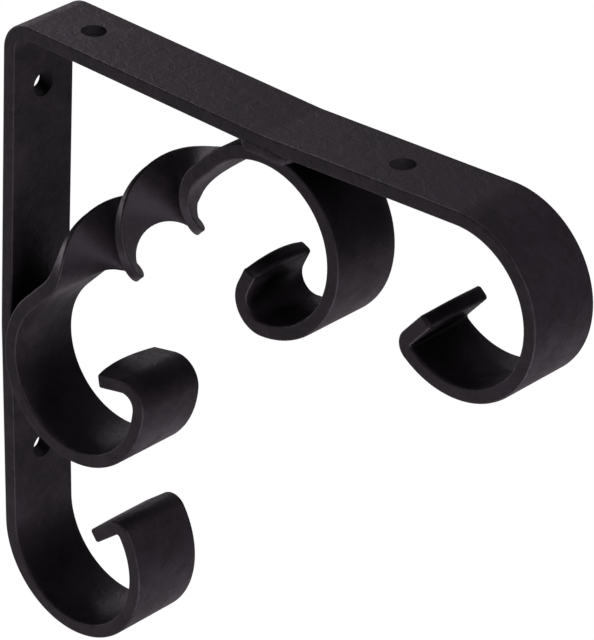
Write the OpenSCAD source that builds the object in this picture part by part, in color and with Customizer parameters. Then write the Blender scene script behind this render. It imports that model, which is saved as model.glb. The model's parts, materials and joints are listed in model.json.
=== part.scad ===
// Scroll shelf bracket, made of flat bar.
// A single bar forms the shelf arm, the corner and the wall arm, and ends in a hook at each arm.
// A second bar, curled at both ends and twisted one full turn in the middle, braces the corner.
// The second bar is held by a weld on each arm.
//
// X points away from the wall, Y runs along the bar's width and Z points up.
// The origin is on the wall face, on the axis of the upper wall screw.

/* [Flat bar] */
// Width of the bar
bar_w = 20; // [16:0.5:30]
// Thickness of the bar
bar_t = 3.6; // [3:0.1:5]
// Radius of the bar's rounded long edges
edge_r = 0.5; // [0.3:0.1:1.2]

/* [Arms] */
// Shelf arm, from the wall face to the start of its hook
shelf_arm = 139; // [130:0.5:220]
// Wall arm, from the shelf face down to the start of its hook
wall_arm = 137.5; // [130:0.5:220]
// Inside radius of the corner
corner_r = 4.4; // [3:0.1:9]
// Angle by which the shelf arm rises past its weld
shelf_rise = 3.5; // [0.5:0.1:5]
// Angle by which the wall arm leans away from the wall past its weld
wall_lean = 2.2; // [0.5:0.1:5]

/* [Arm hooks] */
// Inside radius of both hooks
hook_r = 19.5; // [16:0.5:24]
// Turn of the shelf arm's hook, up to its folded tip
shelf_hook_turn = 219; // [190:0.5:230]
// Turn of the wall arm's hook, up to its folded tip
wall_hook_turn = 213; // [190:0.5:230]
// Inside radius of the fold at each tip
tip_r = 0.8; // [0.5:0.1:2]
// Turn of the fold at each tip
tip_turn = 94; // [80:1:105]
// Straight length of each tip, past the fold
tip_len = 9.5; // [6:0.1:11]
// Radius of the shallow arc to which each end of the frame's bar is cut
tip_arc_r = 40; // [20:1:80]

/* [Scroll] */
// Distance from the wall face to the centre of the upper curl
scroll_out = 82.5; // [76:0.5:92]
// Distance from the shelf face down to the centre of the lower curl
scroll_down = 86; // [80:0.5:95]
// Inside radius of the upper curl
upper_curl_r = 19.9; // [17:0.1:23]
// Inside radius of the lower curl
lower_curl_r = 19.2; // [17:0.1:23]
// Turn of the upper curl, up to its tight end
upper_curl_turn = 222; // [205:0.5:232]
// Turn of the lower curl, up to its tight end
lower_curl_turn = 221; // [205:0.5:232]
// Inside radius of the upper curl's tight end
upper_end_r = 4.4; // [2:0.1:6]
// Turn of the upper curl's tight end
upper_end_turn = 118; // [80:1:125]
// Straight length at the end of the upper curl
upper_end_len = 7; // [6:0.1:10]
// Inside radius of the lower curl's tight end
lower_end_r = 3.2; // [2:0.1:6]
// Turn of the lower curl's tight end
lower_end_turn = 104; // [80:1:115]
// Straight length at the end of the lower curl
lower_end_len = 9.2; // [6:0.1:10]
// Radius of the arc to which each end of the scroll's bar is cut
curl_arc_r = 23.5; // [20:0.5:80]
// Length of the twisted stretch
twist_len = 53.5; // [40:0.5:60]
// How far the twist sits towards the shelf from the middle of its straight stretch
twist_shift = 0.8; // [0:0.1:2]
// Full turns of the twist
twist_turns = 1; // [1:1:3]
// How far the lower curl stands in front of the wall arm's edge
lower_curl_proud = 2.6; // [0:0.1:4]

/* [Screw holes] */
// Diameter of the screw holes
hole_d = 6.2; // [4:0.1:8]
// Distance from each arm's outer face to the screw hole next to the corner
near_hole = 19.8; // [16:0.1:30]
// Distance from the wall face to the shelf arm's outer screw hole
shelf_far_hole = 115.4; // [106:0.1:124]
// Distance from the shelf face to the wall arm's lower screw hole
wall_far_hole = 119.4; // [106:0.1:126]

/* [Welds] */
// Gap that the weld metal fills where a curl meets an arm
weld_gap = 0.4; // [0.3:0.05:0.8]
// Length of each weld along the arm
weld_len = 13; // [8:0.5:16]

/* [Hidden] */

$fn = 64;
BLACK_PAINT = "#1d1c1e";

// Bend in each arm: where it starts, from the centre of the curl it is welded to
shelf_bend_offset = -1;
wall_bend_offset = -4;
shelf_bend_at = scroll_out + shelf_bend_offset;
wall_bend_at = scroll_down + wall_bend_offset;
// Centre-line radius of that slight bend
slight_bend_r = 30;

// Centre-line radii of the bends
half_t = bar_t / 2;
corner_mid_r = corner_r + half_t;
corner_out_r = corner_r + bar_t;
hook_mid_r = hook_r + half_t;
tip_mid_r = tip_r + half_t;
upper_mid_r = upper_curl_r + half_t;
lower_mid_r = lower_curl_r + half_t;
upper_end_mid_r = upper_end_r + half_t;
lower_end_mid_r = lower_end_r + half_t;

// Play and depth of the plugs that join the bends to their neighbours
plug_play = 0.01;
plug_len = 0.1;
// Bends below this centre-line radius count as tight
tight_r = 10;

// Slices per full turn of the twist and facets per rounded edge there
twist_slices = 40;
twist_edge_fn = 12;

// ---------------------------------------------------------------- paths
// A path lies in the XY plane and is a list of steps. [length, 0] goes straight
// and [radius, turn] bends by turn degrees, to the left where turn is positive.
// A pose is [x, y, heading].

function step_end(pose, step) =
    step[1] == 0
    ? [pose[0] + step[0] * cos(pose[2]), pose[1] + step[0] * sin(pose[2]), pose[2]]
    : let (
        side = sign(step[1]),
        centre_x = pose[0] - side * step[0] * sin(pose[2]),
        centre_y = pose[1] + side * step[0] * cos(pose[2]),
        heading = pose[2] + step[1]
      )
      [centre_x + side * step[0] * sin(heading), centre_y - side * step[0] * cos(heading), heading];

function pose_at(start, steps, count) =
    count == 0 ? start : step_end(pose_at(start, steps, count - 1), steps[count - 1]);

module at_pose(pose) {
    translate([pose[0], pose[1], 0])
        rotate(pose[2])
            children();
}

// Cross-section of the bar: thickness along x, width along y, slimmer all round by slim
module bar_section(slim = 0, fn = $fn) {
    flat_x = bar_t - 2 * edge_r;
    flat_y = bar_w - 2 * edge_r;
    square([flat_x, bar_w - 2 * slim], center = true);
    square([bar_t - 2 * slim, flat_y], center = true);
    for (sx = [-1, 1], sy = [-1, 1])
        translate([sx * flat_x / 2, sy * flat_y / 2])
            circle(r = edge_r - slim, $fn = fn);
}

module straight_bar(length) {
    rotate([90, 0, 90])
        linear_extrude(height = length)
            bar_section();
}

// A bend is a hair slimmer than what it meets and plugs into it at both ends.
// The tightest bends are slimmer again, to plug into the wider ones.
module bent_bar(radius, turn) {
    side = sign(turn);
    plug_turn = side * plug_len / radius * 180 / PI;
    slim = radius < tight_r ? 2 * plug_play : plug_play;
    translate([0, side * radius, 0])
        rotate(-side * 90)
            rotate_extrude(start = -plug_turn, angle = turn + 2 * plug_turn)
                translate([radius, 0])
                    bar_section(slim);
}

module bar_step(step) {
    if (step[1] == 0)
        straight_bar(step[0]);
    else
        bent_bar(step[0], step[1]);
}

// The straight that ends a bar, cut to an arc
module bar_end(length, arc_r) {
    intersection() {
        straight_bar(length);
        translate([length - arc_r, 0, 0])
            rotate([90, 0, 0])
                cylinder(r = arc_r, h = 2 * bar_t, center = true, $fn = 180);
    }
}

module bar_along(start, steps, arc_r) {
    last = len(steps) - 1;
    for (i = [0 : last - 1])
        at_pose(pose_at(start, steps, i))
            bar_step(steps[i]);
    at_pose(pose_at(start, steps, last))
        bar_end(steps[last][0], arc_r);
}

// ---------------------------------------------------------------- outer frame
// In the flat layout x points away from the wall and y points up.

function arm_steps(bend_at, arm_len, bend, hook_turn) = [
    [bend_at - corner_out_r, 0],
    [slight_bend_r, bend],
    [arm_len - bend_at - slight_bend_r * abs(bend) * PI / 180, 0],
    [hook_mid_r, -hook_turn],
    [tip_mid_r, -tip_turn],
    [tip_len, 0],
];

// The shelf arm starts at the end of the corner and runs along +x.
shelf_start = [corner_out_r, near_hole - half_t, 0];
shelf_steps = arm_steps(shelf_bend_at, shelf_arm, shelf_rise, shelf_hook_turn);

// The wall arm is laid out along +x like the shelf arm, with the shelf face on x = 0,
// and is then mirrored about the corner's diagonal.
wall_start = [corner_out_r, -half_t, 0];
wall_steps = arm_steps(wall_bend_at, wall_arm, -wall_lean, wall_hook_turn);

// Turns the layout [down the wall, away from the wall's inside] into the flat layout
module on_wall() {
    translate([0, near_hole, 0])
        rotate(-90)
            mirror([0, 1, 0])
                children();
}

module corner_bar() {
    at_pose(shelf_start)
        rotate(180)
            bent_bar(corner_mid_r, 90);
}

module frame_bar() {
    union() {
        corner_bar();
        bar_along(shelf_start, shelf_steps, tip_arc_r);
        on_wall()
            bar_along(wall_start, wall_steps, tip_arc_r);
    }
}

// A screw hole through the bar, at a distance along a path's step
module screw_hole(start, steps, step_index, along) {
    at_pose(pose_at(start, steps, step_index))
        translate([along, 0, 0])
            rotate([90, 0, 0])
                cylinder(d = hole_d, h = 3 * bar_t, center = true);
}

module screw_holes(start, steps, far_hole) {
    screw_hole(start, steps, 0, near_hole - corner_out_r);
    bent_len = steps[0][0] + corner_out_r + slight_bend_r * abs(steps[1][1]) * PI / 180;
    screw_hole(start, steps, 2, far_hole - bent_len);
}

// ---------------------------------------------------------------- inner scroll
// Centre of each curl in the flat layout, touching its arm but for the weld's gap
upper_reach = upper_mid_r + half_t + weld_gap;
lower_reach = lower_mid_r + half_t + weld_gap;
upper_centre = [scroll_out, near_hole - bar_t - upper_reach];
past_bend = scroll_down - wall_bend_at;
lower_centre_x = bar_t + (lower_reach + past_bend * sin(wall_lean)) / cos(wall_lean);
lower_centre = [lower_centre_x, near_hole - scroll_down];

// Straight tangent that joins the curls on the corner's side
span = upper_centre - lower_centre;
radius_step = upper_mid_r - lower_mid_r;
tangent_heading = atan2(span[1], span[0]) + asin(radius_step / norm(span));
tangent_len = sqrt(norm(span) ^ 2 - radius_step ^ 2);
tangent_start = lower_centre + lower_mid_r * [-sin(tangent_heading), cos(tangent_heading)];
lower_plain_len = (tangent_len - twist_len) / 2 + twist_shift;
upper_plain_len = tangent_len - twist_len - lower_plain_len;
// The scroll is swung about its upper curl, so that its lower curl stands proud
scroll_skew = asin(lower_curl_proud / tangent_len);

upper_curl_steps = [
    [upper_plain_len, 0],
    [upper_mid_r, -upper_curl_turn],
    [upper_end_mid_r, -upper_end_turn],
    [upper_end_len, 0],
];
lower_curl_steps = [
    [lower_plain_len, 0],
    [lower_mid_r, lower_curl_turn],
    [lower_end_mid_r, lower_end_turn],
    [lower_end_len, 0],
];

// Moves a scroll laid out with its tangent along +x into the flat layout
module place_scroll() {
    translate([tangent_start[0], tangent_start[1], 0])
        rotate(tangent_heading)
            translate([tangent_len, 0, 0])
                rotate([0, scroll_skew, 0])
                    translate([-tangent_len, 0, 0])
                        children();
}

module twisted_bar() {
    translate([lower_plain_len, 0, 0])
        rotate([90, 0, 90])
            linear_extrude(height = twist_len, twist = 360 * twist_turns, slices = twist_slices * twist_turns)
                bar_section(0, twist_edge_fn);
}

module scroll_bar() {
    union() {
        twisted_bar();
        bar_along([lower_plain_len + twist_len, 0, 0], upper_curl_steps, curl_arc_r);
        bar_along([lower_plain_len, 0, 180], lower_curl_steps, curl_arc_r);
    }
}

// ---------------------------------------------------------------- welds
// Block that spans the gap at a contact: along the arm, across the gap and along the width
weld_depth = 4;
weld_inset = 1.5;
flat_w = bar_w - 2 * edge_r;

module weld_block(contact, heading, width, shift) {
    translate([contact[0], contact[1], shift])
        rotate(heading)
            translate([0, weld_inset - weld_depth / 2, 0])
                cube([weld_len, weld_depth, width], center = true);
}

// All that lies behind an arm's inner face, on both sides of its slight bend
module arm_side(start, steps) {
    bend = steps[1][1];
    reach = 2 * weld_len;
    fold_x = (slight_bend_r + sign(bend) * half_t) * tan(abs(bend) / 2);
    end_x = fold_x + reach * cos(bend);
    at_pose(pose_at(start, steps, 1))
        linear_extrude(height = 3 * bar_w, center = true)
            polygon([
                [-reach, -half_t],
                [fold_x, -half_t],
                [end_x, reach * sin(bend) - half_t],
                [end_x, reach],
                [-reach, reach],
            ]);
}

// The whole disc of each curl, which the weld wraps
module curl_disc(x, radius) {
    translate([x, -radius, 0])
        cylinder(r = radius + half_t, h = 3 * bar_w, center = true, $fn = 180);
}

lower_contact = lower_centre - lower_reach * [cos(wall_lean), sin(wall_lean)];
upper_contact = upper_centre + [0, upper_reach];

// ---------------------------------------------------------------- sub-parts
// Stands the flat layout up, with the width along Y
module stand_up() {
    rotate([90, 0, 0])
        children();
}

module outer_frame() {
    color(BLACK_PAINT)
        stand_up()
            difference() {
                frame_bar();
                screw_holes(shelf_start, shelf_steps, shelf_far_hole);
                on_wall()
                    screw_holes(wall_start, wall_steps, wall_far_hole);
            }
}

module inner_scroll() {
    color(BLACK_PAINT)
        stand_up()
            place_scroll()
                scroll_bar();
}

module shelf_weld() {
    color(BLACK_PAINT)
        stand_up()
            difference() {
                weld_block(upper_contact, 0, flat_w, 0);
                arm_side(shelf_start, shelf_steps);
                place_scroll()
                    curl_disc(tangent_len, upper_mid_r);
            }
}

module wall_weld() {
    color(BLACK_PAINT)
        stand_up()
            difference() {
                weld_block(
                    lower_contact, 90 + wall_lean,
                    flat_w - lower_curl_proud, lower_curl_proud / 2
                );
                on_wall()
                    arm_side(wall_start, wall_steps);
                place_scroll()
                    curl_disc(0, lower_mid_r);
            }
}

outer_frame();
inner_scroll();
shelf_weld();
wall_weld();
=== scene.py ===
import json
import math

import bmesh
import bpy
import numpy as np
from mathutils import Matrix, Vector


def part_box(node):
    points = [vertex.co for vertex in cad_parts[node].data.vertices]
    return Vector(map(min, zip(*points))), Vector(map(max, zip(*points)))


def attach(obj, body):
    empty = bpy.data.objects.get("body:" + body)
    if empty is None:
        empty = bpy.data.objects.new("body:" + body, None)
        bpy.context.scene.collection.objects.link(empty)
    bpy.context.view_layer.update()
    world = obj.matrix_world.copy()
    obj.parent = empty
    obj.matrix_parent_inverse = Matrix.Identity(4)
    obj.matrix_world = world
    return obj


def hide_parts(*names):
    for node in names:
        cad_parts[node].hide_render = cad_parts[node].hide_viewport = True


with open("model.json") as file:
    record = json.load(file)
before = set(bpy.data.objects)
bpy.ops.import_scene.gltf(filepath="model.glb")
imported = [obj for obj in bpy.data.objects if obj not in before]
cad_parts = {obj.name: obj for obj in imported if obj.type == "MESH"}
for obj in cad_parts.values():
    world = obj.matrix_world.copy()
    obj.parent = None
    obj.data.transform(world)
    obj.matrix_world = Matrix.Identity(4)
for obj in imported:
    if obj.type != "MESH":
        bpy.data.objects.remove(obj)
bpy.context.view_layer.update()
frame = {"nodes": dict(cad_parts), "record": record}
record = frame["record"]

# ---------------------------------------------------------------- sizes, in metres and degrees
MM = 0.001
frame_low, frame_high = (Vector(corner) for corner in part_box("outer_frame"))
mounts = {mount["name"]: mount for mount in record["mounts"]}
screw_names = [name for name in mounts if name.endswith("_screw")]
# The mount of this screw lies on the wall face, those of the others midway through the bar
face_screw = "upper_wall_screw"
bore = mounts[face_screw]["dims"]

bar_w = frame_high.y - frame_low.y
bar_t = bore["length_mm"] * MM
hole_r = bore["r_mm"] * MM
shelf_top = mounts["shelf_face"]["pos_m"][2]
edge_r = 0.5 * MM
half_t = bar_t / 2

# The outer bar: both arms, the corner between them and their hooks; radii are inside radii
shelf_arm = 139 * MM
wall_arm = 137.5 * MM
corner_r = 4.4 * MM
shelf_rise = 3.5
wall_lean = 2.2
slight_bend_r = 30 * MM
hook_r = 19.5 * MM
shelf_hook_turn = 219
wall_hook_turn = 213
tip_r = 0.8 * MM
tip_turn = 94
tip_len = 9.5 * MM
tip_arc_r = 40 * MM

# The brace: two curls and the twist between them
scroll_out = 82.5 * MM
scroll_down = 86 * MM
upper_curl_r = 19.9 * MM
lower_curl_r = 19.2 * MM
upper_curl_turn = 222
lower_curl_turn = 221
upper_end_r = 4.4 * MM
upper_end_turn = 118
upper_end_len = 7 * MM
lower_end_r = 3.2 * MM
lower_end_turn = 104
lower_end_len = 9.2 * MM
curl_arc_r = 23.5 * MM
twist_len = 53.5 * MM
twist_shift = 0.8 * MM
twist_turn = 360
# The twist eases in and out over this length, centred on each of its ends
twist_ease = 12 * MM
# How far the brace stands out in front of the wall arm at its lower curl
lower_curl_proud = 2.6 * MM
# Where each arm starts to lean, measured from its weld
shelf_bend_offset = -1 * MM
wall_bend_offset = -4 * MM

# Welds
weld_gap = 0.4 * MM
weld_len = 13 * MM
bead_r = 3 * MM
bead_proud = 0.18 * MM
ripple_pitch = 0.8 * MM
ripple_unevenness = 0.06
bead_grain = 0.25 * MM
bead_side_steps = 12
shelf_bead_seed = 3
wall_bead_seed = 11

# Screw holes: the broken edge at the inner face, and how much smaller in radius a punched
# hole is where the punch came out
bore_edge = 0.12 * MM
punch_taper = 0.9 * MM
bore_sides = 64

# How round the filed ends are: at the lower and at the upper end of each bar, and the
# corners of the end in plan
lower_end_edge = 0.8 * MM
upper_end_edge = 1.15 * MM
corner_soft = 0.8 * MM

# Fineness of the swept bars: degrees or length from one station to the next
bend_step = 3.0
tight_step = 7.0
tight_below_r = 10 * MM
straight_step = 12 * MM
twist_step = 0.9 * MM
end_corner_steps = 4
end_arc_steps = 12
edge_steps = 4
# An edge is crisp where its faces meet at more than this angle
crisp_from = 40
# How strongly the wide flats, rather than the rounded edges, set the shading
flat_weight = 60
# The dressed bar is a hair slimmer, so that it lies inside the exact one
skin = 0.02 * MM
# Corners that lie closer than this are one
weld_together = 0.01 * MM


# ---------------------------------------------------------------- paths in the bar's plane
# A pose is (x, z, heading); a step is (length, 0) or (centre-line radius, turn).
def step_end(pose, step):
    x, z, heading = pose
    size, turn = step
    a = math.radians(heading)
    if turn == 0:
        return (x + size * math.cos(a), z + size * math.sin(a), heading)
    side = 1 if turn > 0 else -1
    cx = x - side * size * math.sin(a)
    cz = z + side * size * math.cos(a)
    b = math.radians(heading + turn)
    return (cx + side * size * math.sin(b), cz - side * size * math.cos(b), heading + turn)


def stations(start, steps):
    """Every station along the steps, the first and the last included."""
    found = [start]
    pose = start
    for size, turn in steps:
        if turn:
            fine = tight_step if size < tight_below_r else bend_step
            count = max(2, math.ceil(abs(turn) / fine))
            found += [step_end(pose, (size, turn * k / count)) for k in range(1, count + 1)]
        else:
            count = max(1, math.ceil(size / straight_step))
            found += [step_end(pose, (size * k / count, 0)) for k in range(1, count + 1)]
        pose = found[-1]
    return found


def end_outline(arc_r):
    """Half of a bar end in plan, from the long edge to the tip of the arc.

    Each entry is the distance back from the tip, the distance from the centre line
    and the two parts of the outward direction there, along and across.
    """
    half = bar_w / 2 - skin
    # the small corner touches both the long edge and the end's arc
    lean = math.asin((half - corner_soft) / (arc_r - corner_soft))
    centre = (arc_r - (arc_r - corner_soft) * math.cos(lean), half - corner_soft)
    found = []
    for k in range(end_corner_steps + 1):
        a = lean + (math.pi / 2 - lean) * (1 - k / end_corner_steps)
        found.append((centre[0] - corner_soft * math.cos(a), centre[1] + corner_soft * math.sin(a),
                      math.cos(a), math.sin(a)))
    for k in range(1, end_arc_steps + 1):
        a = lean * (1 - k / end_arc_steps)
        found.append((arc_r * (1 - math.cos(a)), arc_r * math.sin(a), math.cos(a), math.sin(a)))
    return found


def with_end(poses, arc_r):
    """Adds a station for each step of the end's outline to a path that ends in a straight."""
    end = poses.pop()
    return poses + [step_end(end, (-back, 0)) for back, *_ in end_outline(arc_r)]


def turned_back(poses):
    """The same stations, walked the other way."""
    return [(x, z, heading + 180) for x, z, heading in reversed(poses)]


# ---------------------------------------------------------------- node trees
def new_tree(name, sockets):
    tree = bpy.data.node_groups.new(name, "GeometryNodeTree")
    tree.interface.new_socket("Geometry", in_out="INPUT", socket_type="NodeSocketGeometry")
    for label, kind, value in sockets:
        socket = tree.interface.new_socket(label, in_out="INPUT", socket_type=kind)
        if value is not None:
            socket.default_value = value
    tree.interface.new_socket("Geometry", in_out="OUTPUT", socket_type="NodeSocketGeometry")
    return tree


class Nodes:
    """Adds nodes to a tree, with their inputs by name and their links in one line."""

    spacing = 180

    def __init__(self, tree):
        self.tree = tree
        self.column = 0

    def add(self, kind, settings=None, **inputs):
        node = self.tree.nodes.new(kind)
        self.column += 1
        node.location = (self.column * self.spacing, 0)
        for key, value in (settings or {}).items():
            setattr(node, key, value)
        for key, value in inputs.items():
            self.feed(node, key.replace("_", " "), value)
        return node

    def feed(self, node, name, value):
        socket = node.inputs[name] if isinstance(name, int) else self.find(node, name)
        if isinstance(value, bpy.types.NodeSocket):
            self.tree.links.new(value, socket)
        else:
            socket.default_value = value

    @staticmethod
    def find(node, name):
        for socket in node.inputs:
            if socket.name.lower() == name.lower() and socket.enabled:
                return socket
        raise KeyError(name)

    def maths(self, operation, *values):
        """The result of a Math node on the values."""
        node = self.add("ShaderNodeMath", {"operation": operation})
        for place, value in enumerate(values):
            self.feed(node, place, value)
        return node.outputs[0]

    def mixed(self, kind, first, second, share):
        """Two numbers (FLOAT) or colours (RGBA) blended, by the share of the second."""
        node = self.add("ShaderNodeMix", {"data_type": kind}, Factor=share, A=first, B=second)
        return next(socket for socket in node.outputs if socket.enabled)

    def ranged(self, value, span, new_span=(0.0, 1.0)):
        """The value, carried from one span to another and held inside it."""
        node = self.add("ShaderNodeMapRange", Value=value, From_Min=span[0], From_Max=span[1],
                        To_Min=new_span[0], To_Max=new_span[1])
        return node.outputs["Result"]

    def solid_out(self, mesh, paint):
        """Ends a tree: smooth, real geometry with its paint on."""
        smooth = self.add("GeometryNodeSetShadeSmooth", Geometry=mesh)
        whole = self.add("GeometryNodeRealizeInstances", Geometry=smooth.outputs[0])
        painted = self.add("GeometryNodeSetMaterial", Geometry=whole.outputs[0], Material=paint)
        self.add("NodeGroupOutput", Geometry=painted.outputs[0])


def set_inputs(modifier, values):
    """Sets a Geometry Nodes modifier's inputs by their sockets' identifiers."""
    for item in modifier.node_group.interface.items_tree:
        if item.item_type == "SOCKET" and item.in_out == "INPUT" and item.name in values:
            modifier[item.identifier] = values[item.name]


def in_scene(name, data):
    """A new object in the scene."""
    thing = bpy.data.objects.new(name, data)
    bpy.context.scene.collection.objects.link(thing)
    return thing


def shaped_mesh(source, name):
    """What an object's modifiers make of it, as a plain mesh."""
    bpy.context.view_layer.update()
    evaluated = source.evaluated_get(bpy.context.evaluated_depsgraph_get())
    mesh = bpy.data.meshes.new_from_object(evaluated)
    mesh.name = name
    return mesh


def made_solid(name, source, tree, values):
    """Runs a tree on the source object and keeps the result as a plain mesh object."""
    modifier = source.modifiers.new("Shape", "NODES")
    modifier.node_group = tree
    set_inputs(modifier, values)
    piece = in_scene(name, shaped_mesh(source, name))
    source.modifiers.remove(modifier)
    bpy.data.objects.remove(source)
    return piece


def with_modifiers(piece):
    """Replaces a piece's mesh by its evaluated one and drops its modifiers."""
    mesh = shaped_mesh(piece, piece.name)
    piece.modifiers.clear()
    old = piece.data
    piece.data = mesh
    bpy.data.meshes.remove(old)


def line_object(name, points, closed=False):
    """A line of edges through the points."""
    count = len(points)
    mesh = bpy.data.meshes.new(name)
    mesh.from_pydata([tuple(p) for p in points],
                     [(k, (k + 1) % count) for k in range(count if closed else count - 1)], [])
    return in_scene(name, mesh)


def flat_bar_tree():
    """Sweeps the rounded flat section along a line, and marks its long edges for the paint."""
    tree = new_tree("Flat bar sweep", [
        ("Bar width", "NodeSocketFloat", 0.02),
        ("Bar thickness", "NodeSocketFloat", 0.0036),
        ("Edge radius", "NodeSocketFloat", 0.0005),
        ("Edge steps", "NodeSocketInt", 4),
        ("Paint", "NodeSocketMaterial", None),
    ])
    n = Nodes(tree)
    given = n.add("NodeGroupInput").outputs
    line = n.add("GeometryNodeMeshToCurve", Mesh=given["Geometry"])
    # the line carries the direction of the bar's thickness at each of its points
    thick = n.add("GeometryNodeInputNamedAttribute", {"data_type": "FLOAT_VECTOR"},
                  Name="thick_dir")
    aimed = n.add("GeometryNodeSetCurveNormal", {"mode": "FREE"}, Curve=line.outputs[0],
                  Normal=thick.outputs["Attribute"])
    section = n.add("GeometryNodeCurvePrimitiveQuadrilateral", {"mode": "RECTANGLE"},
                    Width=given["Bar thickness"], Height=given["Bar width"])
    rounded = n.add("GeometryNodeFilletCurve", {"mode": "POLY"}, Curve=section.outputs[0],
                    Count=given["Edge steps"], Radius=given["Edge radius"])
    # 1 at the middle of each rounded edge, 0 on the flats
    place = n.add("GeometryNodeInputIndex").outputs[0]
    along = n.maths("MODULO", place, n.maths("ADD", given["Edge steps"], 1.0))
    share = n.maths("DIVIDE", along, given["Edge steps"])
    rim = n.maths("SINE", n.maths("MULTIPLY", share, math.pi))
    marked = n.add("GeometryNodeStoreNamedAttribute", {"data_type": "FLOAT", "domain": "POINT"},
                   Geometry=rounded.outputs[0], Name="rim", Value=rim)
    swept = n.add("GeometryNodeCurveToMesh", Curve=aimed.outputs[0],
                  Profile_Curve=marked.outputs[0], Fill_Caps=True)
    n.solid_out(swept.outputs[0], given["Paint"])
    return tree


def weld_bead_tree():
    """Lays a row of drops along a closed line and melts them into one rippled bead."""
    tree = new_tree("Weld bead", [
        ("Bead radius", "NodeSocketFloat", 0.003),
        ("Ripple pitch", "NodeSocketFloat", 0.0008),
        ("Unevenness", "NodeSocketFloat", 0.06),
        ("Grain", "NodeSocketFloat", 0.00025),
        ("Melt", "NodeSocketFloat", 0.1),
        ("Seed", "NodeSocketInt", 3),
        ("Paint", "NodeSocketMaterial", None),
    ])
    n = Nodes(tree)
    given = n.add("NodeGroupInput").outputs
    line = n.add("GeometryNodeMeshToCurve", Mesh=given["Geometry"])
    ripples = n.add("GeometryNodeCurveToPoints", {"mode": "LENGTH"}, Curve=line.outputs[0],
                    Length=given["Ripple pitch"])
    size = n.add("FunctionNodeRandomValue", {"data_type": "FLOAT"}, Max=1.0, Seed=given["Seed"],
                 Min=n.maths("SUBTRACT", 1.0, given["Unevenness"]))
    radius = n.maths("MULTIPLY", size.outputs[1], given["Bead radius"])
    drops = n.add("GeometryNodePointsToVolume", {"resolution_mode": "VOXEL_SIZE"},
                  Points=ripples.outputs[0], Voxel_Size=given["Grain"], Radius=radius)
    melted = n.add("GeometryNodeVolumeToMesh", Volume=drops.outputs[0], Threshold=given["Melt"])
    n.solid_out(melted.outputs[0], given["Paint"])
    return tree


# ---------------------------------------------------------------- satin black paint
# Sizes of the paint's patterns, as repeats in a metre
cloud_scale = 95.0
blotch_scale = 330.0
fine_scale = 1000.0
# The part of the blend that the smaller pattern has
blotch_share = 0.45
fine_share = 0.14

paint_tone = (0.0105, 0.0084, 0.0105)
dark_patch = 0.45
light_patch = 1.6
rubbed_tone = (0.018, 0.016, 0.018, 1.0)
# Near-black colour of the screw holes' walls: painted shade, far darker than the paint
painted_bore_shade = (0.0015, 0.0012, 0.0015, 1.0)
gloss_tint = (1.0, 0.92, 1.0, 1.0)
paint_ior = 1.48
paint_gloss = 0.29
rim_roughness = 0.62
bore_roughness = 0.85
# The middle stretch of the mottle, from fully dark to fully light
mottle_span = (0.2, 0.8)


def black_paint(name, dull=0.5, bright=0.36, peel=1.0):
    """Satin black paint, whose roughness runs from dull in dark patches to bright in light ones."""
    paint = bpy.data.materials.new(name)
    paint.use_nodes = True
    paint.node_tree.nodes.clear()
    n = Nodes(paint.node_tree)
    place = n.add("ShaderNodeTexCoord").outputs["Object"]
    shader = n.add("ShaderNodeBsdfPrincipled", IOR=paint_ior, Metallic=0.0,
                   Specular_IOR_Level=paint_gloss, Specular_Tint=gloss_tint)

    # Cloudy patches, smaller blotches and a fine grain, each lighter or darker than the rest
    clouds = n.add("ShaderNodeTexNoise", Vector=place, Scale=cloud_scale, Detail=4.0,
                   Roughness=0.6).outputs["Fac"]
    blotch = n.add("ShaderNodeTexNoise", Vector=place, Scale=blotch_scale, Detail=4.0,
                   Roughness=0.65, Distortion=0.6).outputs["Fac"]
    fine = n.add("ShaderNodeTexNoise", Vector=place, Scale=fine_scale, Detail=3.0,
                 Roughness=0.6).outputs["Fac"]
    coarse = n.mixed("FLOAT", n.ranged(clouds, (0.34, 0.66)), n.ranged(blotch, (0.32, 0.68)),
                     blotch_share)
    mottle = n.mixed("FLOAT", coarse, n.ranged(fine, (0.3, 0.7)), fine_share)
    tint = n.add("ShaderNodeValToRGB", Fac=mottle)
    for stop, position, strength in zip(tint.color_ramp.elements, mottle_span,
                                        (dark_patch, light_patch)):
        stop.position = position
        stop.color = [c * strength for c in paint_tone] + [1.0]

    # Thin, slightly rubbed paint on the long edges, and painted shade inside the screw holes, whose
    # walls are coloured near black and made duller
    rim = n.add("ShaderNodeAttribute", {"attribute_name": "rim"}).outputs["Fac"]
    bored = n.add("ShaderNodeAttribute", {"attribute_name": "bore"}).outputs["Fac"]
    wear = n.maths("MULTIPLY", rim, n.ranged(blotch, (0.4, 0.62)))
    rubbed = n.mixed("RGBA", tint.outputs["Color"], rubbed_tone, wear)
    # the bore walls take the painted shade as their base colour
    n.feed(shader, "Base Color", n.mixed("RGBA", rubbed, painted_bore_shade, bored))
    polish = n.ranged(mottle, mottle_span, (dull, bright))
    along_edge = n.mixed("FLOAT", polish, rim_roughness, rim)
    n.feed(shader, "Roughness", n.mixed("FLOAT", along_edge, bore_roughness, bored))

    # Orange peel of sprayed paint over slightly uneven hot-rolled bar
    swell = n.add("ShaderNodeBump", Height=blotch, Strength=0.36 * peel, Distance=0.5 * MM)
    peeled = n.add("ShaderNodeBump", Height=fine, Strength=0.12 * peel, Distance=0.2 * MM,
                   Normal=swell.outputs["Normal"])
    n.feed(shader, "Normal", peeled.outputs["Normal"])
    n.add("ShaderNodeOutputMaterial", Surface=shader.outputs[0])
    return paint


frame_paint = black_paint("satin_black_frame")
brace_paint = black_paint("satin_black_brace")
weld_paint = black_paint("satin_black_weld", dull=0.7, bright=0.6, peel=0.8)

bar_tree = flat_bar_tree()
bead_tree = weld_bead_tree()


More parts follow.
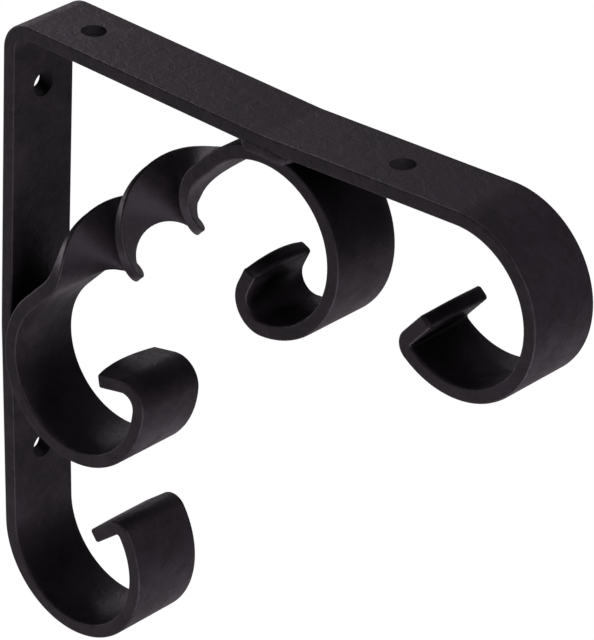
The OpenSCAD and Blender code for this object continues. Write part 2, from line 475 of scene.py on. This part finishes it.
# ---------------------------------------------------------------- bars
def swept_bar(name, points, thick_dirs, arc_r, paint):
    """A flat bar along the points, from its lower end to its upper one, with arc-cut ends."""
    line = line_object(name + "_line", points)
    directions = line.data.attributes.new("thick_dir", "FLOAT_VECTOR", "POINT")
    directions.data.foreach_set("vector", np.array(thick_dirs, dtype=np.float32).ravel())
    bar = made_solid(name, line, bar_tree, {
        "Bar width": bar_w - 2 * skin,
        "Bar thickness": bar_t - 2 * skin,
        "Edge radius": edge_r,
        "Edge steps": edge_steps,
        "Paint": paint,
    })
    count = len(points)
    shaped = len(end_outline(arc_r))
    round_end(bar, list(range(shaped - 1, -1, -1)), count, arc_r, lower_end_edge)
    round_end(bar, list(range(count - shaped, count)), count, arc_r, upper_end_edge)
    closed_tips(bar, count)
    return bar


def round_end(bar, rings, ring_count, arc_r, end_edge):
    """Lays the rings at one end of a bar along its arc, with the rim rounded all the way.

    The rings run from where the corner starts to the tip. On the way round the corner
    the rim's radius grows from that of the long edges to end_edge.
    """
    verts = bar.data.vertices
    count = len(verts) // ring_count
    centres = [sum((verts[i * count + j].co for j in range(count)), Vector()) / count
               for i in (rings[0], rings[-1])]
    outward = (centres[1] - centres[0]).normalized()
    first = [verts[rings[0] * count + j].co - centres[0] for j in range(count)]
    # along the bar's width: the mean of the corners on the longest offset's side
    longest = max(first, key=lambda v: v.length)
    beside = [v for v in first
              if abs(v.length - longest.length) < 0.3 * edge_r and v.dot(longest) > 0]
    wide = sum(beside, Vector()).normalized()
    thick = outward.cross(wide)
    half_wide = max(v.dot(wide) for v in first)
    half_thick = max(v.dot(thick) for v in first)
    for k, (ring, (back, out, along, across)) in enumerate(zip(rings, end_outline(arc_r))):
        growth = 1 + (end_edge / edge_r - 1) * min(1, k / end_corner_steps)
        for j, offset in enumerate(first):
            inset = (half_wide - abs(offset.dot(wide))) * growth
            side = math.copysign(1, offset.dot(wide))
            depth = half_thick - (half_thick - abs(offset.dot(thick))) * growth
            verts[ring * count + j].co = (centres[1] - outward * (back + inset * along)
                                          + wide * side * (out - inset * across)
                                          + thick * math.copysign(depth, offset.dot(thick)))


def closed_tips(bar, ring_count):
    """Takes out the flat cap at each tip, where both sides meet, and joins the sides."""
    mesh = bmesh.new()
    mesh.from_mesh(bar.data)
    mesh.verts.ensure_lookup_table()
    count = len(mesh.verts) // ring_count
    tips = list(mesh.verts)[:count] + list(mesh.verts)[-count:]
    caps = [face for face in mesh.faces if len(face.verts) == count]
    bmesh.ops.delete(mesh, geom=caps, context="FACES_ONLY")
    bmesh.ops.remove_doubles(mesh, verts=tips, dist=weld_together)
    bmesh.ops.recalc_face_normals(mesh, faces=mesh.faces)
    mesh.to_mesh(bar.data)
    mesh.free()


def add_drill(shape, screw):
    """Adds the cutter for one screw hole.

    The hole's edge is broken at the bar's inner face and crisp at its outer one, which the
    axis points out of. The wall arm's holes were punched from the inner side, and close in
    a little towards the wall.
    """
    axis = Vector(screw["axis"]).normalized()
    centre = Vector(screw["pos_m"])
    if screw["name"] == face_screw:
        centre -= axis * half_t
    near_r = hole_r - 2 * skin
    in_wall_arm = abs(axis.x) > abs(axis.z)
    far_r = near_r - (punch_taper if in_wall_arm else 0)
    reach = 3 * bar_t
    outline = [(0, -reach), (near_r + bore_edge, -reach), (near_r + bore_edge, skin - half_t),
               (near_r, bore_edge + skin - half_t), (far_r, half_t - skin), (far_r, reach),
               (0, reach)]
    turn = axis.to_track_quat("Z", "Y").to_matrix().to_4x4()
    rings = []
    for r, height in outline:
        angles = [2 * math.pi * k / bore_sides for k in range(bore_sides if r else 1)]
        spots = [Vector((r * math.cos(a), r * math.sin(a), height)) for a in angles]
        rings.append([shape.verts.new(centre + turn @ spot) for spot in spots])
    for low, high in zip(rings, rings[1:]):
        for k in range(bore_sides):
            m = (k + 1) % bore_sides
            if len(low) == 1:
                shape.faces.new((low[0], high[m], high[k]))
            elif len(high) == 1:
                shape.faces.new((low[k], low[m], high[0]))
            else:
                shape.faces.new((low[k], low[m], high[m], high[k]))


def drill(bar, screws):
    """Cuts the screw holes through a bar, and marks their walls for the painted shade and the
    duller roughness there.
    """
    cutter_mesh = bpy.data.meshes.new("drills")
    shape = bmesh.new()
    for screw in screws:
        add_drill(shape, screw)
    bmesh.ops.recalc_face_normals(shape, faces=shape.faces)
    shape.to_mesh(cutter_mesh)
    shape.free()
    for body, share in ((cutter_mesh, 1.0), (bar.data, 0.0)):
        inside = body.attributes.new("bore", "FLOAT", "FACE")
        inside.data.foreach_set("value", [share] * len(body.polygons))
    cutter = in_scene("drills", cutter_mesh)
    cut = bar.modifiers.new("Drill", "BOOLEAN")
    cut.operation = "DIFFERENCE"
    cut.solver = "EXACT"
    cut.object = cutter
    with_modifiers(bar)
    bpy.data.objects.remove(cutter)


def finish_shading(bar):
    """Smooth bends, true flats and crisp ends."""
    bar.data.shade_smooth()
    bar.data.set_sharp_from_angle(angle=math.radians(crisp_from))
    even = bar.modifiers.new("Flats", "WEIGHTED_NORMAL")
    even.mode = "FACE_AREA"
    even.weight = flat_weight
    even.keep_sharp = True
    with_modifiers(bar)


# ---------------------------------------------------------------- outer bar
corner_out_r = corner_r + bar_t
shelf_bend_at = scroll_out + shelf_bend_offset
wall_bend_at = scroll_down + wall_bend_offset


def arm_steps(bend_at, length, bend, turn):
    """An arm from the corner to its tip: straight, slight bend, straight, hook and folded tip."""
    return [
        (bend_at - corner_out_r, 0),
        (slight_bend_r, bend),
        (length - bend_at - slight_bend_r * math.radians(abs(bend)), 0),
        (hook_r + half_t, -turn),
        (tip_r + half_t, -tip_turn),
        (tip_len, 0),
    ]


def in_plane(pose):
    """A pose's point in the bracket's own plane, and the direction of the thickness there."""
    x, z, heading = pose
    a = math.radians(heading)
    return Vector((x, 0, z)), Vector((-math.sin(a), 0, math.cos(a)))


shelf_line = with_end(
    stations((corner_out_r, shelf_top - half_t, 0),
             arm_steps(shelf_bend_at, shelf_arm, shelf_rise, shelf_hook_turn)), tip_arc_r)
# The wall arm is laid out along +x and turned down the wall about the corner's diagonal
wall_flat = with_end(
    stations((corner_out_r, -half_t, 0),
             arm_steps(wall_bend_at, wall_arm, -wall_lean, wall_hook_turn)), tip_arc_r)
wall_line = [(-z, shelf_top - x, -90 - heading) for x, z, heading in wall_flat]
corner_line = stations(turned_back(wall_line)[-1], [(corner_r + half_t, -90)])
outer_line = turned_back(wall_line) + corner_line[1:-1] + shelf_line

outer_points, outer_thick = zip(*[in_plane(pose) for pose in outer_line])
outer_bar = swept_bar("outer_bar", outer_points, outer_thick, tip_arc_r, frame_paint)
drill(outer_bar, [mounts[name] for name in screw_names])
finish_shading(outer_bar)

# ---------------------------------------------------------------- brace
upper_mid = upper_curl_r + half_t
lower_mid = lower_curl_r + half_t
upper_reach = upper_mid + half_t + weld_gap
lower_reach = lower_mid + half_t + weld_gap
lean = math.radians(wall_lean)
upper_centre = Vector((scroll_out, shelf_top - bar_t - upper_reach))
lower_centre = Vector((
    bar_t + (lower_reach + (scroll_down - wall_bend_at) * math.sin(lean)) / math.cos(lean),
    shelf_top - scroll_down,
))
# The brace's straight stretch is the common tangent of its two curls
span = upper_centre - lower_centre
radius_step = upper_mid - lower_mid
tangent_heading = math.atan2(span.y, span.x) + math.asin(radius_step / span.length)
tangent_len = math.sqrt(span.length ** 2 - radius_step ** 2)
tangent_start = lower_centre + lower_mid * Vector((-math.sin(tangent_heading),
                                                   math.cos(tangent_heading)))
lower_plain = (tangent_len - twist_len) / 2 + twist_shift
upper_plain = tangent_len - twist_len - lower_plain
skew = math.asin(lower_curl_proud / tangent_len)
eased_len = twist_len + twist_ease
eased_start = lower_plain - twist_ease / 2


def eased(along):
    """Share of the twist reached; its rate grows over the first stretch and fades over the last."""
    if along < twist_ease:
        return along * along / (2 * twist_ease * twist_len)
    if along > eased_len - twist_ease:
        return 1 - eased(eased_len - along)
    return (along - twist_ease / 2) / twist_len


def curls():
    """Stations of the lower and the upper curl, in the layout of the brace's own straight."""
    lower_straight = lower_plain - twist_ease / 2 - twist_step
    upper_straight = upper_plain - twist_ease / 2 - twist_step
    lower = stations((lower_straight, 0, 180), [
        (lower_straight, 0), (lower_mid, lower_curl_turn),
        (lower_end_r + half_t, lower_end_turn), (lower_end_len, 0)])
    upper = stations((tangent_len - upper_straight, 0, 0), [
        (upper_straight, 0), (upper_mid, -upper_curl_turn),
        (upper_end_r + half_t, -upper_end_turn), (upper_end_len, 0)])
    return turned_back(with_end(lower, curl_arc_r)), with_end(upper, curl_arc_r)


def placed(x, y, depth):
    """A point of the brace's own layout, in the row frame; depth is towards the front."""
    u = x - tangent_len
    u, depth = (u * math.cos(skew) + depth * math.sin(skew),
                depth * math.cos(skew) - u * math.sin(skew))
    u += tangent_len
    c, s = math.cos(tangent_heading), math.sin(tangent_heading)
    return Vector((tangent_start.x + u * c - y * s, -depth, tangent_start.y + u * s + y * c))


def placed_way(x, y, depth):
    """A direction of the brace's own layout, in the row frame."""
    return (placed(x, y, depth) - placed(0, 0, 0)).normalized()


def curl_stations(poses):
    """Point and thickness direction of each pose of a curl, in the row frame."""
    for x, y, heading in poses:
        a = math.radians(heading)
        yield placed(x, y, 0), placed_way(-math.sin(a), math.cos(a), 0)


def twist_stations():
    """Point and thickness direction of each slice of the twist, in the row frame."""
    slices = math.ceil(eased_len / twist_step)
    for k in range(slices + 1):
        along = eased_len * k / slices
        phase = math.radians(twist_turn * eased(along))
        yield placed(eased_start + along, 0, 0), placed_way(0, math.cos(phase), -math.sin(phase))


lower_curl, upper_curl = curls()
brace_points, brace_thick = zip(*curl_stations(lower_curl), *twist_stations(),
                                *curl_stations(upper_curl))
brace = swept_bar("twisted_brace", brace_points, brace_thick, curl_arc_r, brace_paint)
finish_shading(brace)


# ---------------------------------------------------------------- weld beads
def bead_line(contact, along, across, front, back):
    """The closed line round a contact that the bead follows."""
    half = weld_len / 2 - bead_r / 2
    corners = [(-half, front), (half, front), (half, back), (-half, back)]
    points = []
    for (u0, v0), (u1, v1) in zip(corners, corners[1:] + corners[:1]):
        for k in range(bead_side_steps):
            u = u0 + (u1 - u0) * k / bead_side_steps
            v = v0 + (v1 - v0) * k / bead_side_steps
            # the gap between curl and arm widens away from the contact
            opening = weld_gap / 2 + u * u / (4 * upper_reach)
            points.append(contact + along * u + across * opening + Vector((0, v, 0)))
    return line_object("bead_line", points, closed=True)


upper_contact = Vector((scroll_out, 0, shelf_top - bar_t))
lower_contact = Vector((lower_centre.x - lower_reach * math.cos(lean), 0,
                        lower_centre.y - lower_reach * math.sin(lean)))
wall_along = Vector((math.sin(lean), 0, -math.cos(lean)))
wall_across = Vector((math.cos(lean), 0, math.sin(lean)))
bead_sizes = {
    "Bead radius": bead_r,
    "Ripple pitch": ripple_pitch,
    "Unevenness": ripple_unevenness,
    "Grain": bead_grain,
    "Paint": weld_paint,
}
bead_half = bar_w / 2 + bead_proud - bead_r
shelf_bead = made_solid(
    "shelf_weld_bead",
    bead_line(upper_contact, Vector((1, 0, 0)), Vector((0, 0, -1)), -bead_half, bead_half),
    bead_tree, {**bead_sizes, "Seed": shelf_bead_seed})
wall_bead = made_solid(
    "wall_weld_bead",
    bead_line(lower_contact, wall_along, wall_across, -bead_half, bead_half - lower_curl_proud),
    bead_tree, {**bead_sizes, "Seed": wall_bead_seed})

# ---------------------------------------------------------------- hand over to the frame
for piece, node, slot in ((outer_bar, "outer_frame", "black_paint_frame"),
                          (brace, "inner_scroll", "black_paint_scroll")):
    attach(piece, "root")
    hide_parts(node)
for bead in (shelf_bead, wall_bead):
    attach(bead, "root")
for node in ("shelf_weld", "wall_weld"):
    for holder in frame["nodes"][node].material_slots:
        holder.material = weld_paint

# ---------------------------------------------------------------- camera
camera_place = (0.68854, -0.68949, 0.49722)
camera_azimuth = 41.1337
camera_elevation = 29.9323
camera_roll = 2.5915
camera_lens = 279.33


def look_at(view_az, view_el, view_roll):
    """The turn of a camera that looks at the object from an azimuth and an elevation."""
    az, el, roll = (math.radians(v) for v in (view_az, view_el, view_roll))
    ahead = Vector((-math.sin(az) * math.cos(el), math.cos(az) * math.cos(el), -math.sin(el)))
    right = ahead.cross(Vector((0, 0, 1))).normalized()
    up = right.cross(ahead)
    turned_right = right * math.cos(roll) + up * math.sin(roll)
    turned_up = up * math.cos(roll) - right * math.sin(roll)
    return Matrix((turned_right, turned_up, -ahead)).transposed().to_4x4()


camera_data = bpy.data.cameras.new("camera")
camera_data.sensor_fit = "HORIZONTAL"
camera_data.sensor_width = 36
camera_data.lens = camera_lens
camera_data.clip_end = 20
camera = in_scene("camera", camera_data)
camera.matrix_world = (Matrix.Translation(camera_place)
                       @ look_at(camera_azimuth, camera_elevation, camera_roll))
bpy.context.scene.camera = camera

# ---------------------------------------------------------------- floor and world
floor_half = 6
floor_z = frame_low.z - 0.22
floor_tone = (0.4, 0.4, 0.4, 1)
# The floor's white for the camera, and the part of it that takes no shadow
floor_white = 1.06
floor_white_share = 0.93
white = (1, 1, 1, 1)
lamp_colour = (1.0, 0.925, 1.0)
fill_strength = 0.11


def pale_floor_material():
    """A grey surface that the camera sees as white, with a faint shadow."""
    material = bpy.data.materials.new("pale_floor")
    material.use_nodes = True
    material.node_tree.nodes.clear()
    n = Nodes(material.node_tree)
    surface = n.add("ShaderNodeBsdfPrincipled", Base_Color=floor_tone, Roughness=0.9)
    glow = n.add("ShaderNodeEmission", Color=white, Strength=floor_white)
    rays = n.add("ShaderNodeLightPath")
    choice = n.add("ShaderNodeMixShader")
    n.feed(choice, 0, n.maths("MULTIPLY", rays.outputs["Is Camera Ray"], floor_white_share))
    n.feed(choice, 1, surface.outputs[0])
    n.feed(choice, 2, glow.outputs[0])
    n.add("ShaderNodeOutputMaterial", Surface=choice.outputs[0])
    return material


floor_mesh = bpy.data.meshes.new("floor")
floor_mesh.from_pydata([(-floor_half, -floor_half, floor_z), (floor_half, -floor_half, floor_z),
                        (floor_half, floor_half, floor_z), (-floor_half, floor_half, floor_z)],
                       [], [(0, 1, 2, 3)])
floor_mesh.materials.append(pale_floor_material())
floor = in_scene("floor", floor_mesh)

world = bpy.data.worlds.new("studio")
bpy.context.scene.world = world
world.use_nodes = True
world.node_tree.nodes.clear()
w = Nodes(world.node_tree)
seen = w.add("ShaderNodeBackground", Color=white, Strength=1.0)
fill = w.add("ShaderNodeBackground", Color=(*lamp_colour, 1), Strength=fill_strength)
ray = w.add("ShaderNodeLightPath")
pick = w.add("ShaderNodeMixShader")
w.feed(pick, 0, ray.outputs["Is Camera Ray"])
w.feed(pick, 1, fill.outputs[0])
w.feed(pick, 2, seen.outputs[0])
w.add("ShaderNodeOutputWorld", Surface=pick.outputs[0])

# ---------------------------------------------------------------- lamps
# Each softbox: direction from the object's middle, distance, width and height, watts
softboxes = {
    "left_softbox": ((-1.0, 0.3, 0.6), 1.3, (0.6, 0.6), 7.8),
    "left_strip": ((-1.0, -0.2, -0.1), 1.3, (1.0, 0.4), 5.4),
    "top_softbox": ((0.0, 0.05, 1.0), 1.2, (0.7, 0.7), 2.8),
    "right_strip": ((1.0, 0.0, 0.62), 1.3, (0.12, 0.6), 9.8),
    "low_right_softbox": ((1.0, 0.25, 0.1), 1.3, (0.4, 0.4), 0.2),
}
# Each lit panel in the table, facing up at the undersides: place, width and depth, watts
table_panels = {
    "right_panel": ((0.45, -0.25), (0.5, 0.4), 4.15),
    "back_right_panel": ((0.45, 0.3), (0.5, 0.4), 0.06),
    "left_panel": ((-0.35, -0.1), (0.4, 0.8), 0.19),
    "middle_panel": ((0.08, 0.0), (0.4, 0.6), 0.05),
    "front_panel": ((0.1, -0.25), (0.3, 0.2), 0.26),
}
panel_lift = 0.01


def add_lamp(name, place, size, watts):
    """A rectangular light, out of the camera's sight."""
    data = bpy.data.lights.new(name, "AREA")
    data.shape = "RECTANGLE"
    data.size, data.size_y = size
    data.energy = watts
    data.color = lamp_colour
    lamp = in_scene(name, data)
    lamp.location = place
    lamp.visible_camera = False
    return lamp


middle = (frame_low + frame_high) / 2
for name, (way, distance, size, watts) in softboxes.items():
    lamp = add_lamp(name, middle + Vector(way).normalized() * distance, size, watts)
    lamp.rotation_euler = (middle - lamp.location).to_track_quat("-Z", "Y").to_euler()
for name, ((x, y), size, watts) in table_panels.items():
    lamp = add_lamp(name, (x, y, floor_z + panel_lift), size, watts)
    lamp.rotation_euler = (math.pi, 0, 0)

bpy.context.scene.view_settings.view_transform = "Standard"
